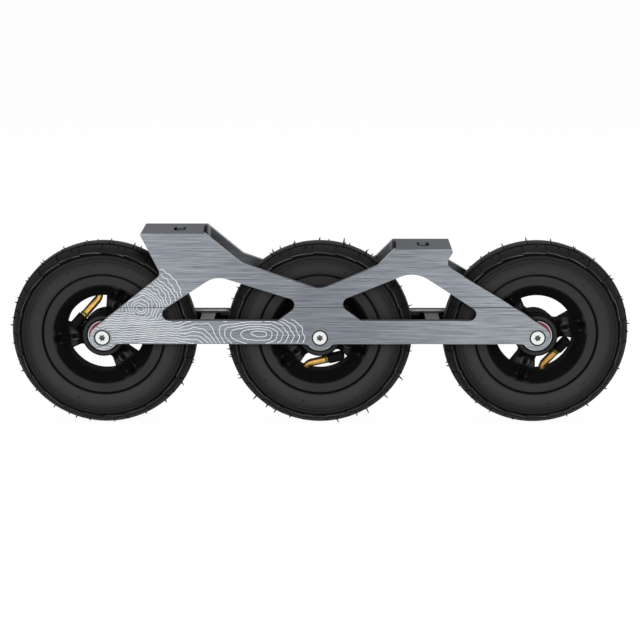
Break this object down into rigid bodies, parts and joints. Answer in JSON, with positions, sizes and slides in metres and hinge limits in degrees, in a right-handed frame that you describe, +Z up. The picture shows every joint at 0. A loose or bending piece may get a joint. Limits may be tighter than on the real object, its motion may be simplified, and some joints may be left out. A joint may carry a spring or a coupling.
{
  "type": "inline skate frame",
  "caption": "Off-road inline skate frame: a machined aluminium channel with windowed side walls, raised heel and toe boot mounts and pneumatic wheels on through axles.",
  "frame": {"origin": "on the ground under the middle axle, midway between the walls", "axes": "+X to the toe, +Y to the skater's left, +Z up; the axles run along Y"},
  "size_m": [0.422, 0.039, 0.1352],
  "materials": {
    "frame_alloy": "brushed anodised",
    "axle_steel": "bright plated",
    "spacer_alloy": "turned",
    "bearing_steel": "ground",
    "cage_nylon": "moulded",
    "seal_rubber": "satin",
    "rim_nylon": "moulded satin",
    "screw_steel": "blackened",
    "tyre_rubber": "moulded",
    "tube_rubber": "smooth",
    "valve_brass": "bright",
    "cap_plastic": "moulded"
  },
  "bodies": {
    "frame": {"frame_body": "frame_alloy", "rear_axle_bolt": "axle_steel", "rear_bearing_spacer": "spacer_alloy", "rear_bearing_inner_rings": "bearing_steel", "middle_axle_bolt": "axle_steel", "middle_bearing_spacer": "spacer_alloy", "middle_bearing_inner_rings": "bearing_steel", "front_axle_bolt": "axle_steel", "front_bearing_spacer": "spacer_alloy", "front_bearing_inner_rings": "bearing_steel"},
    "rear_wheel": {"rear_bearing_outer_rings": "bearing_steel", "rear_bearing_seals": "seal_rubber", "rear_rim_near_half": "rim_nylon", "rear_rim_far_half": "rim_nylon", "rear_rim_screws": "screw_steel", "rear_rim_nuts": "screw_steel", "rear_tyre": "tyre_rubber", "rear_inner_tube": "tube_rubber", "rear_valve_stem": "valve_brass", "rear_valve_cap": "cap_plastic"},
    "rear_ball_set": {"rear_bearing_balls": "bearing_steel", "rear_bearing_cages": "cage_nylon"},
    "middle_wheel": {"middle_bearing_outer_rings": "bearing_steel", "middle_bearing_seals": "seal_rubber", "middle_rim_near_half": "rim_nylon", "middle_rim_far_half": "rim_nylon", "middle_rim_screws": "screw_steel", "middle_rim_nuts": "screw_steel", "middle_tyre": "tyre_rubber", "middle_inner_tube": "tube_rubber", "middle_valve_stem": "valve_brass", "middle_valve_cap": "cap_plastic"},
    "middle_ball_set": {"middle_bearing_balls": "bearing_steel", "middle_bearing_cages": "cage_nylon"},
    "front_wheel": {"front_bearing_outer_rings": "bearing_steel", "front_bearing_seals": "seal_rubber", "front_rim_near_half": "rim_nylon", "front_rim_far_half": "rim_nylon", "front_rim_screws": "screw_steel", "front_rim_nuts": "screw_steel", "front_tyre": "tyre_rubber", "front_inner_tube": "tube_rubber", "front_valve_stem": "valve_brass", "front_valve_cap": "cap_plastic"},
    "front_ball_set": {"front_bearing_balls": "bearing_steel", "front_bearing_cages": "cage_nylon"}
  },
  "joints": [
    {"name": "rear_wheel_spin", "type": "hinge", "parent": "frame", "child": "rear_wheel", "pos_m": [-0.1475, 0, 0.0635], "axis": [0, 1, 0], "continuous": true},
    {"name": "rear_ball_set_spin", "type": "hinge", "parent": "frame", "child": "rear_ball_set", "pos_m": [-0.1475, 0, 0.0635], "axis": [0, 1, 0], "continuous": true},
    {"name": "middle_wheel_spin", "type": "hinge", "parent": "frame", "child": "middle_wheel", "pos_m": [0, 0, 0.0635], "axis": [0, 1, 0], "continuous": true},
    {"name": "middle_ball_set_spin", "type": "hinge", "parent": "frame", "child": "middle_ball_set", "pos_m": [0, 0, 0.0635], "axis": [0, 1, 0], "continuous": true},
    {"name": "front_wheel_spin", "type": "hinge", "parent": "frame", "child": "front_wheel", "pos_m": [0.1475, 0, 0.0635], "axis": [0, 1, 0], "continuous": true},
    {"name": "front_ball_set_spin", "type": "hinge", "parent": "frame", "child": "front_ball_set", "pos_m": [0.1475, 0, 0.0635], "axis": [0, 1, 0], "continuous": true}
  ],
  "couplings": [
    {"joint": "rear_ball_set_spin", "follows": "rear_wheel_spin", "ratio": 0.6323},
    {"joint": "middle_ball_set_spin", "follows": "middle_wheel_spin", "ratio": 0.6323},
    {"joint": "front_ball_set_spin", "follows": "front_wheel_spin", "ratio": 0.6323}
  ]
}
